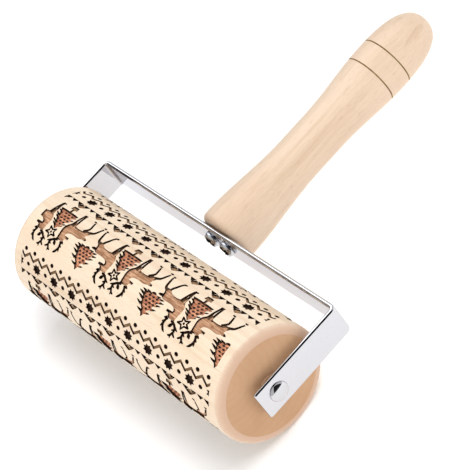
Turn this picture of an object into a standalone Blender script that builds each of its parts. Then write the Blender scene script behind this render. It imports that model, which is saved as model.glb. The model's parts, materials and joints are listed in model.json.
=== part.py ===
"""Embossed rolling pin: a carved roller on a steel axle, in a bent steel yoke with a turned wooden handle.

Metres, +Z up. The pin lies on a table, on its roller and on the swell of its handle. X runs along the roller
and +Y points the way the handle points. The origin is on the table, under the middle of the whole pin.
"""

import math

import bmesh
import bpy
from mathutils import Matrix, Vector
from mathutils.geometry import delaunay_2d_cdt

# Clearances
SEAT_GAP = 0.0003  # between two pieces that touch
RUNNING_GAP = 0.00015  # round the axle in its bushings
RIGHT_FLOAT = 0.0005  # between the right flange and its washer
LEFT_FLOAT = 0.0029  # the same on the left, where the roller's end play is
CUT_OVERRUN = 0.001  # how far a cutter runs past the face that it opens
WELD_DISTANCE = 0.000003  # points nearer than this are one

# Roller
ROLLER_DIAMETER = 0.0488
ROLLER_LENGTH = 0.1384
ROLLER_RIM_RADIUS = 0.0022
ROLLER_BORE = 0.0065

# Border carved into the roller. One drawing is repeated round it, and its figures repeat along it.
BORDER_MARGIN = 0.0062  # plain wood at each end
BORDER_DEPTH = 0.0008
BORDER_REPEATS = 4
BORDER_FOOT_ANGLE = 51.5  # from the handle's direction up to the foot of the drawing, in degrees
REINDEER_HEIGHT = 0.0205
STAND_FIR_HEIGHT = 0.0126
SPIKY_FIR_HEIGHT = 0.0099
STAR_PITCH = 0.0129
STAR_WIDTH = 0.0054
STAR_HEIGHT = 0.0042
STAR_SPIKES = 8
STAR_NOTCH_SHARE = 0.6
STARS_PER_FIGURE = 3.5

# Where its parts stand, along the roller in shares of their pitch, and up in shares of one repeat
PAIR_ALONG_SHARE = -0.17
LEFT_REINDEER_UP_SHARE = 0.12
RIGHT_REINDEER_UP_SHARE = 0.105
STAND_FIR_UP_SHARE = 0.10
SPIKY_FIR_ALONG_SHARE = 0.35
SPIKY_FIR_UP_SHARE = 0.40
STAR_ALONG_SHARE = -0.08
STAR_UP_SHARE = 0.91

# Bushings, one in each end of the roller
SLEEVE_DIAMETER = 0.0085
SLEEVE_LENGTH = 0.0120
FLANGE_DIAMETER = 0.0110
FLANGE_THICKNESS = 0.0007

# Washers, one against the inside of each leg
WASHER_DIAMETER = 0.0100
WASHER_THICKNESS = 0.0008

# Axle, with a domed head outside the right leg and a pressed cap outside the left one
AXLE_DIAMETER = 0.0050
AXLE_CHAMFER = 0.0003
HEAD_DIAMETER = 0.0084
HEAD_HEIGHT = 0.0021
CAP_DIAMETER = 0.0084
CAP_GRIP = 0.0013  # the length of axle inside the cap
CAP_CROWN = 0.0010  # the metal over the end of the axle

# Yoke, one flat strap bent into a U
STRAP_WIDTH = 0.0150
STRAP_THICKNESS = 0.0020
STRAP_EDGE_BREAK = 0.0005
BEND_RADIUS = 0.0010  # on the inside of each bend
LEG_BELOW_AXLE = 0.0085
CROSSBAR_CLEARANCE = 0.0105  # from the roller to the inside of the crossbar
SPOTFACE_DIAMETER = 0.0098
SPOTFACE_DEPTH = 0.0003

# Handle, measured from its base
HANDLE_LENGTH = 0.1190
BASE_DIAMETER = 0.0245
BASE_EDGE_BREAK = 0.0006
FOOT_LENGTH = 0.0030
WAIST_DIAMETER = 0.0194
WAIST_START = 0.0440
WAIST_END = 0.0580
SWELL_DIAMETER = 0.0236
SWELL_AT = 0.0930
DOME_FULLNESS = 2.6  # 2 is an ellipse, and more is fuller
GROOVE_FIRST = 0.0862
GROOVE_PITCH = 0.0100
GROOVE_COUNT = 2
GROOVE_WIDTH = 0.0010
GROOVE_DEPTH = 0.0005

# Screws, through the crossbar into the handle
SCREW_PITCH = 0.0098
SCREW_HEAD_DIAMETER = 0.0072
SCREW_HEAD_HEIGHT = 0.0020
SCREW_FLAT_SHARE = 0.5
SCREW_SHANK_DIAMETER = 0.0036
SCREW_REACH = 0.0160  # into the handle
SCREW_POINT = 0.0030
CROSS_LENGTH = 0.0040
CROSS_WIDTH = 0.0012
CROSS_DEPTH = 0.0014

# How finely round shapes are divided
REPEAT_SIDES = 12  # sides of the roller in one repeat of its border
HANDLE_SIDES = 48
SMALL_SIDES = 32
BEND_STEPS = 6
RIM_STEPS = 5
DOME_STEPS = 6
HANDLE_STEPS = 20
HANDLE_DOME_STEPS = 10

# What follows from the sizes above. Along the handle, heights are measured from the axle.
ROLLER_RADIUS = ROLLER_DIAMETER / 2
ROLLER_SIDES = BORDER_REPEATS * REPEAT_SIDES
REPEAT_HEIGHT = math.pi * ROLLER_DIAMETER / BORDER_REPEATS
BORDER_HALF = ROLLER_LENGTH / 2 - BORDER_MARGIN
FIGURE_PITCH = STAR_PITCH * STARS_PER_FIGURE
AXLE_RADIUS = AXLE_DIAMETER / 2
SHANK_RADIUS = SCREW_SHANK_DIAMETER / 2
END_STACK = SEAT_GAP + FLANGE_THICKNESS + WASHER_THICKNESS + SEAT_GAP
INSIDE_HALF = (ROLLER_LENGTH + 2 * END_STACK + LEFT_FLOAT + RIGHT_FLOAT) / 2
OUTSIDE_HALF = INSIDE_HALF + STRAP_THICKNESS
ROLLER_MIDDLE = INSIDE_HALF - END_STACK - RIGHT_FLOAT - ROLLER_LENGTH / 2
CROSSBAR_INSIDE = ROLLER_RADIUS + CROSSBAR_CLEARANCE
CROSSBAR_OUTSIDE = CROSSBAR_INSIDE + STRAP_THICKNESS
HANDLE_BASE = CROSSBAR_OUTSIDE + SEAT_GAP
HEAD_SEAT = OUTSIDE_HALF - SPOTFACE_DEPTH + SEAT_GAP
CAP_BORE_DEPTH = CAP_GRIP + SEAT_GAP
CAP_HEIGHT = CAP_BORE_DEPTH + CAP_CROWN

ALONG_X = Matrix.Rotation(math.radians(90), 4, "Y")
ALONG_MINUS_X = Matrix.Rotation(math.radians(-90), 4, "Y")
ALONG_Y = Matrix.Rotation(math.radians(-90), 4, "X")


def clear_scene():
    """Removes whatever the scene holds at the start."""
    for obj in list(bpy.data.objects):
        bpy.data.objects.remove(obj)


def make_material(name, colour, roughness, metallic):
    """A plain Principled material."""
    material = bpy.data.materials.new(name)
    material.use_nodes = True
    shader = material.node_tree.nodes["Principled BSDF"]
    shader.inputs["Base Color"].default_value = (*colour, 1)
    shader.inputs["Roughness"].default_value = roughness
    shader.inputs["Metallic"].default_value = metallic
    return material


def make_empty(name, place):
    """An empty, as the parent of the pieces that share a frame."""
    empty = bpy.data.objects.new(name, None)
    empty.matrix_world = place
    bpy.context.collection.objects.link(empty)
    return empty


def make_object(name, bm, parent, place, material=None):
    """Turns a bmesh into an object under its parent, smooth but for its real edges."""
    bmesh.ops.recalc_face_normals(bm, faces=bm.faces)
    mesh = bpy.data.meshes.new(name)
    bm.to_mesh(mesh)
    bm.free()
    mesh.shade_smooth()
    mesh.set_sharp_from_angle(angle=math.radians(30))
    obj = bpy.data.objects.new(name, mesh)
    bpy.context.collection.objects.link(obj)
    obj.parent = parent
    obj.matrix_local = place
    if material:
        mesh.materials.append(material)
    return obj


def turned(outline, sides, closed):
    """Spins an outline of (radius, height) points round the Z axis, with its first corner on the X axis."""
    bm = bmesh.new()
    points = [bm.verts.new((radius, 0, height)) for radius, height in outline]
    edges = [bm.edges.new(pair) for pair in zip(points, points[1:])]
    if closed:
        edges.append(bm.edges.new((points[-1], points[0])))
    bmesh.ops.spin(
        bm,
        geom=points + edges,
        cent=(0, 0, 0),
        axis=(0, 0, 1),
        angle=math.tau,
        steps=sides,
        use_merge=True,
    )
    bmesh.ops.remove_doubles(bm, verts=bm.verts, dist=WELD_DISTANCE)
    return bm


def extruded(outline, depth):
    """A flat outline in the XY plane, given this depth about the plane."""
    bm = bmesh.new()
    face = bm.faces.new([bm.verts.new((x, y, -depth / 2)) for x, y in outline])
    raised = bmesh.ops.extrude_face_region(bm, geom=[face])["geom"]
    corners = [item for item in raised if isinstance(item, bmesh.types.BMVert)]
    bmesh.ops.translate(bm, verts=corners, vec=(0, 0, depth))
    return bm


def arc(centre, radius, start, end, steps):
    """Points on an arc from one angle to the other, in degrees, both ends included."""
    angles = [math.radians(start + (end - start) * step / steps) for step in range(steps + 1)]
    return [(centre[0] + radius * math.cos(a), centre[1] + radius * math.sin(a)) for a in angles]


def dome(radius, height, base):
    """The outline of a dome, from its rim at the base height up to the axis."""
    angles = [math.radians(90) * step / DOME_STEPS for step in range(DOME_STEPS)]
    rounded = [(radius * math.cos(a), base + height * math.sin(a)) for a in angles]
    return rounded + [(0, base + height)]


def rod_cutter(name, radius, start, end, parent, place):
    """A round cutter along its own Z axis, from one height to the other."""
    outline = [(0, start), (radius, start), (radius, end), (0, end)]
    return make_cutter(name, turned(outline, SMALL_SIDES, closed=False), parent, place)


def make_cutter(name, bm, parent, place):
    """A hidden object that only Boolean modifiers use."""
    cutter = make_object(name, bm, parent, place)
    cutter.hide_render = True
    cutter.display_type = "WIRE"
    return cutter


def cut(obj, cutter):
    """Takes the cutter's shape out of the object."""
    boolean = obj.modifiers.new(cutter.name, "BOOLEAN")
    boolean.operation = "DIFFERENCE"
    boolean.solver = "EXACT"
    boolean.object = cutter


# Handle
def ease(start, end, share):
    """A value between start and end that leaves the one and meets the other level."""
    return start + (end - start) * (1 - math.cos(math.pi * share)) / 2


def handle_radius(height):
    """The handle's radius at this height over its base: foot, waist, swell and domed end."""
    base, waist, swell = BASE_DIAMETER / 2, WAIST_DIAMETER / 2, SWELL_DIAMETER / 2
    if height <= FOOT_LENGTH:
        return base
    if height <= WAIST_START:
        return ease(base, waist, (height - FOOT_LENGTH) / (WAIST_START - FOOT_LENGTH))
    if height <= WAIST_END:
        return waist
    if height <= SWELL_AT:
        return ease(waist, swell, (height - WAIST_END) / (SWELL_AT - WAIST_END))
    share = (height - SWELL_AT) / (HANDLE_LENGTH - SWELL_AT)
    return swell * max(0, 1 - share**DOME_FULLNESS) ** (1 / DOME_FULLNESS)


def groove_heights():
    return [GROOVE_FIRST + GROOVE_PITCH * index for index in range(GROOVE_COUNT)]


def handle_outline():
    """The turned outline, from the middle of the base to the tip, with its ring grooves cut in."""
    span = SWELL_AT - FOOT_LENGTH
    heights = [FOOT_LENGTH + span * step / HANDLE_STEPS for step in range(HANDLE_STEPS)]
    dome_span = HANDLE_LENGTH - SWELL_AT
    quarter = math.radians(90) / HANDLE_DOME_STEPS
    heights += [SWELL_AT + dome_span * math.sin(quarter * step) for step in range(HANDLE_DOME_STEPS)]
    grooves = groove_heights()
    clear = [h for h in heights if all(abs(h - groove) > GROOVE_WIDTH for groove in grooves)]
    points = [(handle_radius(height), height) for height in clear]
    for groove in grooves:
        edges = (groove - GROOVE_WIDTH / 2, groove + GROOVE_WIDTH / 2)
        points += [(handle_radius(edge), edge) for edge in edges]
        points.append((handle_radius(groove) - GROOVE_DEPTH, groove))
    points.sort(key=lambda point: point[1])
    base = BASE_DIAMETER / 2
    foot = [(0, 0), (base - BASE_EDGE_BREAK, 0), (base, BASE_EDGE_BREAK)]
    return foot + points + [(0, HANDLE_LENGTH)]


def lying_tilt(outline):
    """The angle by which the handle drops until it meets the table that the roller lies on."""
    angles = []
    for radius, height in outline:
        reach = math.hypot(radius, HANDLE_BASE + height)
        if reach > ROLLER_RADIUS:
            drop = math.asin(ROLLER_RADIUS / reach)
            angles.append(drop - math.atan2(radius, HANDLE_BASE + height))
    return min(angles)


def lying_middle(outline, tilt):
    """Half way between the roller's near side and the handle's tip, along Y from the axle."""
    ends = [
        (HANDLE_BASE + height) * math.cos(tilt) + radius * math.sin(tilt) for radius, height in outline
    ]
    return (max(ends) - ROLLER_RADIUS) / 2


def screw_places():
    return {"left": -SCREW_PITCH / 2, "right": SCREW_PITCH / 2}


def make_handle(pin, outline, wood):
    """The turned handle, with a pilot hole for each screw."""
    seat = Matrix.Translation((0, HANDLE_BASE, 0)) @ ALONG_Y
    handle = make_object("handle", turned(outline, HANDLE_SIDES, closed=False), pin, seat, wood)
    for side, across in screw_places().items():
        cutter = rod_cutter(
            f"pilot_cutter_{side}",
            SHANK_RADIUS + SEAT_GAP,
            -CUT_OVERRUN,
            SCREW_REACH + SEAT_GAP,
            pin,
            seat @ Matrix.Translation((across, 0, 0)),
        )
        cut(handle, cutter)


def cross_outline():
    """A plus sign, for the screws' cross recess."""
    arm, half = CROSS_LENGTH / 2, CROSS_WIDTH / 2
    corner = [(arm, -half), (arm, half), (half, half)]
    turns = [Matrix.Rotation(math.radians(90) * turn, 2) for turn in range(4)]
    return [tuple(turn @ Vector(point)) for turn in turns for point in corner]


def make_screws(pin, steel):
    """The two screws that hold the handle, their heads on the inside of the crossbar."""
    head, flat = SCREW_HEAD_DIAMETER / 2, SCREW_HEAD_DIAMETER / 2 * SCREW_FLAT_SHARE
    top = -SEAT_GAP - SCREW_HEAD_HEIGHT
    angles = [math.radians(90) * step / RIM_STEPS for step in range(RIM_STEPS + 1)]
    crown = [
        (flat + (head - flat) * math.sin(a), -SEAT_GAP - SCREW_HEAD_HEIGHT * math.cos(a)) for a in angles
    ]
    tip = STRAP_THICKNESS + SEAT_GAP + SCREW_REACH
    shank = [(SHANK_RADIUS, -SEAT_GAP), (SHANK_RADIUS, tip - SCREW_POINT), (0, tip)]
    outline = [(0, top)] + crown + shank
    for side, across in screw_places().items():
        seat = Matrix.Translation((across, CROSSBAR_INSIDE, 0)) @ ALONG_Y
        screw = make_object(
            f"handle_screw_{side}", turned(outline, SMALL_SIDES, closed=False), pin, seat, steel
        )
        depth = CROSS_DEPTH + CUT_OVERRUN
        middle = top + CROSS_DEPTH - depth / 2
        cross = seat @ Matrix.Translation((0, 0, middle))
        cut(screw, make_cutter(f"cross_cutter_{side}", extruded(cross_outline(), depth), pin, cross))


# Yoke
def strap_outline():
    """The U of the strap, seen along its width: the outside from left to right, then the inside back."""
    outer, inner = BEND_RADIUS + STRAP_THICKNESS, BEND_RADIUS
    across, height = INSIDE_HALF - BEND_RADIUS, CROSSBAR_INSIDE - BEND_RADIUS
    outside = arc((-across, height), outer, 180, 90, BEND_STEPS)
    outside += arc((across, height), outer, 90, 0, BEND_STEPS)
    inside = arc((across, height), inner, 0, 90, BEND_STEPS)
    inside += arc((-across, height), inner, 90, 180, BEND_STEPS)
    foot = -LEG_BELOW_AXLE
    right_foot = [(OUTSIDE_HALF, foot), (INSIDE_HALF, foot)]
    left_foot = [(-INSIDE_HALF, foot), (-OUTSIDE_HALF, foot)]
    return outside + right_foot + inside + left_foot


def make_yoke(pin, chrome):
    """The bent strap, with its axle holes, the spotfaces round them and the screw holes."""
    yoke = make_object("yoke", extruded(strap_outline(), STRAP_WIDTH), pin, Matrix(), chrome)
    bevel = yoke.modifiers.new("edge_break", "BEVEL")
    bevel.width = STRAP_EDGE_BREAK
    bevel.segments = 1
    bevel.limit_method = "ANGLE"
    bevel.angle_limit = math.radians(60)
    end = OUTSIDE_HALF + CUT_OVERRUN
    cut(yoke, rod_cutter("axle_hole_cutter", AXLE_RADIUS + SEAT_GAP, -end, end, pin, ALONG_X))
    for side, place in (("right", ALONG_X), ("left", ALONG_MINUS_X)):
        spotface = OUTSIDE_HALF - SPOTFACE_DEPTH
        name = f"spotface_cutter_{side}"
        cut(yoke, rod_cutter(name, SPOTFACE_DIAMETER / 2, spotface, end, pin, place))
    for side, across in screw_places().items():
        hole = rod_cutter(
            f"screw_hole_cutter_{side}",
            SHANK_RADIUS + SEAT_GAP,
            CROSSBAR_INSIDE - CUT_OVERRUN,
            CROSSBAR_OUTSIDE + CUT_OVERRUN,
            pin,
            Matrix.Translation((across, 0, 0)) @ ALONG_Y,
        )
        cut(yoke, hole)


# Axle
def make_axle(pin, steel):
    """The axle with its domed head, and the cap on its other end."""
    left_end = -HEAD_SEAT - CAP_GRIP
    shank = [
        (0, left_end),
        (AXLE_RADIUS - AXLE_CHAMFER, left_end),
        (AXLE_RADIUS, left_end + AXLE_CHAMFER),
        (AXLE_RADIUS, HEAD_SEAT),
    ]
    outline = shank + dome(HEAD_DIAMETER / 2, HEAD_HEIGHT, HEAD_SEAT)
    make_object("axle", turned(outline, SMALL_SIDES, closed=False), pin, ALONG_X, steel)
    bore = AXLE_RADIUS + SEAT_GAP
    hollow = [(0, CAP_BORE_DEPTH), (bore, CAP_BORE_DEPTH), (bore, 0)]
    cap = turned(hollow + dome(CAP_DIAMETER / 2, CAP_HEIGHT, 0), SMALL_SIDES, closed=False)
    make_object("axle_cap", cap, pin, ALONG_MINUS_X @ Matrix.Translation((0, 0, HEAD_SEAT)), steel)


def make_washers(pin, steel):
    """A thin washer against the inside of each leg."""
    bore, rim = AXLE_RADIUS + SEAT_GAP, WASHER_DIAMETER / 2
    outer = INSIDE_HALF - SEAT_GAP
    inner = outer - WASHER_THICKNESS
    outline = [(bore, inner), (rim, inner), (rim, outer), (bore, outer)]
    for side, place in (("right", ALONG_X), ("left", ALONG_MINUS_X)):
        make_object(f"washer_{side}", turned(outline, SMALL_SIDES, closed=True), pin, place, steel)


# Border, drawn flat. Outlines run anticlockwise, in shares of the figure's height. A fir is its right half.
REINDEER_SHARES = [
    (0.23, 0.60), (0.21, 0.43), (0.31, 0.32), (0.32, 0.00), (0.38, 0.00), (0.42, 0.27), (0.70, 0.31),
    (0.77, 0.24), (0.64, 0.01), (0.70, 0.00), (0.86, 0.24), (0.95, 0.22), (0.99, 0.00), (1.04, 0.00),
    (1.00, 0.23), (0.89, 0.38), (0.87, 0.46), (0.51, 0.49), (0.41, 0.56), (0.55, 0.61), (0.43, 0.70),
    (0.47, 0.82), (0.45, 0.92), (0.35, 1.00), (0.32, 0.97), (0.40, 0.89), (0.42, 0.82), (0.38, 0.73),
    (0.31, 0.73), (0.17, 0.80), (0.14, 0.86), (0.17, 0.98), (0.13, 0.99), (0.09, 0.86), (0.13, 0.77),
    (0.24, 0.72),
]
STAND_FIR_SHARES = [
    (0.13, 0.00), (0.17, 0.13), (0.05, 0.13), (0.05, 0.26), (0.44, 0.26), (0.26, 0.49), (0.38, 0.50),
    (0.17, 0.73), (0.25, 0.74), (0.00, 1.00),
]
SPIKY_FIR_SHARES = [
    (0.45, 0.00), (0.75, 0.10), (0.45, 0.20), (0.69, 0.27), (0.35, 0.40), (0.60, 0.49), (0.22, 0.64),
    (0.39, 0.73), (0.00, 1.00),
]


def mirrored(half):
    """A whole outline from its right half, which ends on the axis."""
    return half + [(-x, y) for x, y in reversed(half[:-1])]


def drawn(shares, height):
    return [(x * height, y * height) for x, y in shares]


def star():
    """A star's outline round its middle."""
    corners = []
    for index in range(2 * STAR_SPIKES):
        reach = STAR_NOTCH_SHARE if index % 2 else 1
        angle = math.pi * (index + 1 / 2) / STAR_SPIKES
        corners.append((STAR_WIDTH / 2 * reach * math.cos(angle), STAR_HEIGHT / 2 * reach * math.sin(angle)))
    return corners


def in_row(outline, pitch, along_share, up_share):
    """Copies of an outline along the roller, as many as the border holds whole."""
    along, up = along_share * pitch, up_share * REPEAT_HEIGHT
    reach = math.ceil(BORDER_HALF / pitch)
    places = [along + pitch * index for index in range(-reach, reach + 1)]
    copies = [[(place + x, up + y) for x, y in outline] for place in places]
    return [copy for copy in copies if all(abs(x) <= BORDER_HALF for x, _ in copy)]


def border_outlines():
    """All outlines of one repeat: along the roller, and round it from the foot of the drawing."""
    right = drawn(REINDEER_SHARES, REINDEER_HEIGHT)
    left = [(-x, y) for x, y in reversed(right)]
    stand_fir = drawn(mirrored(STAND_FIR_SHARES), STAND_FIR_HEIGHT)
    spiky_fir = drawn(mirrored(SPIKY_FIR_SHARES), SPIKY_FIR_HEIGHT)
    outlines = in_row(star(), STAR_PITCH, STAR_ALONG_SHARE, STAR_UP_SHARE)
    outlines += in_row(left, FIGURE_PITCH, PAIR_ALONG_SHARE, LEFT_REINDEER_UP_SHARE)
    outlines += in_row(right, FIGURE_PITCH, PAIR_ALONG_SHARE, RIGHT_REINDEER_UP_SHARE)
    outlines += in_row(stand_fir, FIGURE_PITCH, PAIR_ALONG_SHARE, STAND_FIR_UP_SHARE)
    outlines += in_row(spiky_fir, FIGURE_PITCH, SPIKY_FIR_ALONG_SHARE, SPIKY_FIR_UP_SHARE)
    return outlines


def flat_border(half_length):
    """One repeat as flat points, triangles and, for each triangle, whether it is carved."""
    points, lines, outlines = [], [], []
    for side in range(REPEAT_SIDES + 1):
        up = REPEAT_HEIGHT * side / REPEAT_SIDES
        lines.append((len(points), len(points) + 1))
        points += [Vector((-half_length, up)), Vector((half_length, up))]
    for outline in border_outlines():
        outlines.append(list(range(len(points), len(points) + len(outline))))
        points += [Vector(point) for point in outline]
    flat, _, triangles, _, _, sources = delaunay_2d_cdt(points, lines, outlines, 0, WELD_DISTANCE)
    return flat, triangles, [bool(source) for source in sources]


def wrapped(along, up, radius):
    """A flat point as it lies on the roller, on the straight side between two corners."""
    side = math.floor(up / REPEAT_HEIGHT * REPEAT_SIDES)
    share = up / REPEAT_HEIGHT * REPEAT_SIDES - side
    start, end = math.tau * side / ROLLER_SIDES, math.tau * (side + 1) / ROLLER_SIDES
    x = radius * ((1 - share) * math.cos(start) + share * math.cos(end))
    y = radius * ((1 - share) * math.sin(start) + share * math.sin(end))
    return (x, y, along)


def edges_of(loop):
    return list(zip(loop, loop[1:] + loop[:1]))


def add_carved_tube(bm, half_length):
    """Adds the roller's carved side, round the Z axis: its skin, and the floors and walls of the carvings."""
    flat, triangles, carved = flat_border(half_length)
    floors = {edge for triangle, deep in zip(triangles, carved) if deep for edge in edges_of(triangle)}
    for repeat in range(BORDER_REPEATS):
        corners = {}

        def corner(point, deep):
            if (point, deep) not in corners:
                along, up = flat[point]
                radius = ROLLER_RADIUS - BORDER_DEPTH if deep else ROLLER_RADIUS
                corners[point, deep] = bm.verts.new(wrapped(along, up + repeat * REPEAT_HEIGHT, radius))
            return corners[point, deep]

        for triangle, deep in zip(triangles, carved):
            bm.faces.new([corner(point, deep) for point in triangle])
        for start, end in sorted(floors):
            if (end, start) not in floors:
                skin = [corner(start, False), corner(end, False)]
                bm.faces.new(skin + [corner(end, True), corner(start, True)])


# Roller
def make_roller(spin, wood):
    """The bored roller with its carved border, rounded rims and a counterbore in each end for a bushing."""
    end, bore = ROLLER_LENGTH / 2, ROLLER_BORE / 2
    counterbore = SLEEVE_DIAMETER / 2 + SEAT_GAP
    shoulder = end - SLEEVE_LENGTH - SEAT_GAP
    rim, half_length = ROLLER_RADIUS - ROLLER_RIM_RADIUS, end - ROLLER_RIM_RADIUS
    left_rim = arc((rim, -half_length), ROLLER_RIM_RADIUS, 0, -90, RIM_STEPS)
    left_seat = [(counterbore, -end), (counterbore, -shoulder), (bore, -shoulder)]
    right_seat = [(bore, shoulder), (counterbore, shoulder), (counterbore, end)]
    right_rim = arc((rim, half_length), ROLLER_RIM_RADIUS, 90, 0, RIM_STEPS)
    bm = turned(left_rim + left_seat + right_seat + right_rim, ROLLER_SIDES, closed=False)
    add_carved_tube(bm, half_length)
    bmesh.ops.remove_doubles(bm, verts=bm.verts, dist=WELD_DISTANCE)
    foot = Matrix.Rotation(math.radians(90 + BORDER_FOOT_ANGLE), 4, "Z")
    make_object("roller", bm, spin, Matrix.Translation((ROLLER_MIDDLE, 0, 0)) @ ALONG_X @ foot, wood)


def make_bushings(spin, nylon):
    """A flanged sleeve in each end of the roller."""
    bore = AXLE_RADIUS + RUNNING_GAP
    sleeve, flange = SLEEVE_DIAMETER / 2, FLANGE_DIAMETER / 2
    face = SEAT_GAP + FLANGE_THICKNESS
    outline = [
        (bore, -SLEEVE_LENGTH),
        (sleeve, -SLEEVE_LENGTH),
        (sleeve, SEAT_GAP),
        (flange, SEAT_GAP),
        (flange, face),
        (bore, face),
    ]
    for side, sign, turn in (("right", 1, ALONG_X), ("left", -1, ALONG_MINUS_X)):
        seat = Matrix.Translation((ROLLER_MIDDLE + sign * ROLLER_LENGTH / 2, 0, 0)) @ turn
        make_object(f"bushing_{side}", turned(outline, SMALL_SIDES, closed=True), spin, seat, nylon)


def build():
    clear_scene()
    beech = make_material("beech", (0.80, 0.58, 0.38), 0.55, 0)
    pale_beech = make_material("pale_beech", (0.84, 0.66, 0.46), 0.6, 0)
    chrome = make_material("chrome", (0.86, 0.86, 0.87), 0.08, 1)
    steel = make_material("steel", (0.62, 0.62, 0.63), 0.25, 1)
    nylon = make_material("nylon", (0.88, 0.87, 0.83), 0.45, 0)

    outline = handle_outline()
    tilt = lying_tilt(outline)
    axle = Vector(((CAP_HEIGHT - HEAD_HEIGHT) / 2, -lying_middle(outline, tilt), ROLLER_RADIUS))
    spin = make_empty("roller_spin_axis", Matrix.Translation(axle))
    pin = make_empty("pin_frame", Matrix.Translation(axle) @ Matrix.Rotation(-tilt, 4, "X"))

    make_roller(spin, pale_beech)
    make_bushings(spin, nylon)
    make_yoke(pin, chrome)
    make_axle(pin, steel)
    make_washers(pin, steel)
    make_handle(pin, outline, beech)
    make_screws(pin, steel)


build()
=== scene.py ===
"""Embossed rolling pin: its looks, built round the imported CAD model. Metres, +Z up.

The roller carries an engraved and burnt border of reindeer, firs and stars, four times round. The drawing
is made flat, cut into the roller's surface as real recesses, and wrapped round it. The yoke, handle, screws,
axle and its cap are made again with finer edges. The washers and bushings are the CAD's own.
"""

import json
import math

import bmesh
import bpy
import numpy as np
from mathutils import Matrix, Vector
from mathutils.geometry import delaunay_2d_cdt


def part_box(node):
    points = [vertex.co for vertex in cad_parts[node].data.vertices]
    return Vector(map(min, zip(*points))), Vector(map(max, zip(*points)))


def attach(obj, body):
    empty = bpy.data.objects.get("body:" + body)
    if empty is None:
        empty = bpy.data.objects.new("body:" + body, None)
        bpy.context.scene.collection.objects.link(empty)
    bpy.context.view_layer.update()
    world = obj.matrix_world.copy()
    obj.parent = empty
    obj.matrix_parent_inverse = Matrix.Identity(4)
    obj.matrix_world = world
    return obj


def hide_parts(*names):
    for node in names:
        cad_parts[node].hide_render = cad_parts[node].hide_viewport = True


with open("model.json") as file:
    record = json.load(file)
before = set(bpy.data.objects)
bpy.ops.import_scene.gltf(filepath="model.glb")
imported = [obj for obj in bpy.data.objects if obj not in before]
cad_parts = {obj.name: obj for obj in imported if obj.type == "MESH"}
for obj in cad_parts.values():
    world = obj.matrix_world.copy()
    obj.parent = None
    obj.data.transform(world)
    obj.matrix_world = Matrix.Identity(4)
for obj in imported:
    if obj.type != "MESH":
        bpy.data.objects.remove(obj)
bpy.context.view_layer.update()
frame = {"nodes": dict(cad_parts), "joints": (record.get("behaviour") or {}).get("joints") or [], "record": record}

MM = 0.001

# Sizes that the CAD has too
SEAT_GAP = 0.0003
STRAP_WIDTH = 0.0150
STRAP_THICKNESS = 0.0020
BEND_RADIUS = 0.0010
ROLLER_RIM_RADIUS = 0.0022  # along the roller
ROLLER_BORE = 0.0065
SLEEVE_DIAMETER = 0.0085
SLEEVE_LENGTH = 0.0120
AXLE_DIAMETER = 0.0050
AXLE_CHAMFER = 0.0003
HEAD_DIAMETER = 0.0084
HEAD_HEIGHT = 0.0021
CAP_GRIP = 0.0013
CAP_CROWN = 0.0010
BASE_DIAMETER = 0.0245
FOOT_LENGTH = 0.0030
WAIST_DIAMETER = 0.0194
WAIST_START = 0.0440
WAIST_END = 0.0580
SWELL_AT = 0.0930
DOME_FULLNESS = 2.6  # 2 is an ellipse, and more is fuller
GROOVES_AT = (0.0862, 0.0962)
SCREW_PITCH = 0.0098
SCREW_HEAD_DIAMETER = 0.0072
SCREW_HEAD_HEIGHT = 0.0020
SCREW_FLAT_SHARE = 0.5
SCREW_SHANK_DIAMETER = 0.0036
SCREW_REACH = 0.0160
SCREW_POINT = 0.0030
CROSSBAR_CLEARANCE = 0.0105
LEG_BELOW_AXLE = 0.0085

# Sizes that differ from the CAD's: finer edges, and a handle that they keep inside the CAD's box
ROLLER_RIM_DEPTH = 0.0036  # across the roller, where the CAD's rim is round
HANDLE_LENGTH = 0.1189
BASE_EDGE_BREAK = 0.0027
SWELL_DIAMETER = 0.02356
GROOVE_WIDTH = 0.00062
GROOVE_DEPTH = 0.00045
CROSS_LENGTH = 0.0054
CROSS_WIDTH = 0.0026
CROSS_DEPTH = 0.0015
BORDER_FOOT_ANGLE = 52.2  # where the border starts, in degrees round the roller

# What only the looks have
SCREW_TURNS = {"left": math.radians(20), "right": math.radians(65)}  # of the crosses in their heads
CUT_OVERRUN = 0.0010
SMOOTH_ANGLE = 35
FLAT_FACE_WEIGHT = 100

# Rounded edges: their width, their steps and the least angle of an edge in degrees
STRAP_EDGES = (0.00098, 6, 60)
EASED_EDGES = (0.0001, 2, 50)

# How finely shapes are divided
BEND_STEPS = 14
RIM_STEPS = 12
BASE_STEPS = 8
GROOVE_STEPS = 6
HANDLE_SIDES = 144
HANDLE_STEPS = 64
DOME_STEPS = 26
SMALL_SIDES = 64
CROWN_STEPS = 10
END_RINGS = (0.8, 0.55, 0.35)  # shares of the end face's radius
MERGE_DISTANCE = 0.000002
TINY = 1e-6
FACING_OUT = 0.9  # the least cosine between a face of the tube and the way out from the axis

SCREW_PLACES = {"left": -SCREW_PITCH / 2, "right": SCREW_PITCH / 2}
SCREW_HOLE = SCREW_SHANK_DIAMETER / 2 + SEAT_GAP

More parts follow.
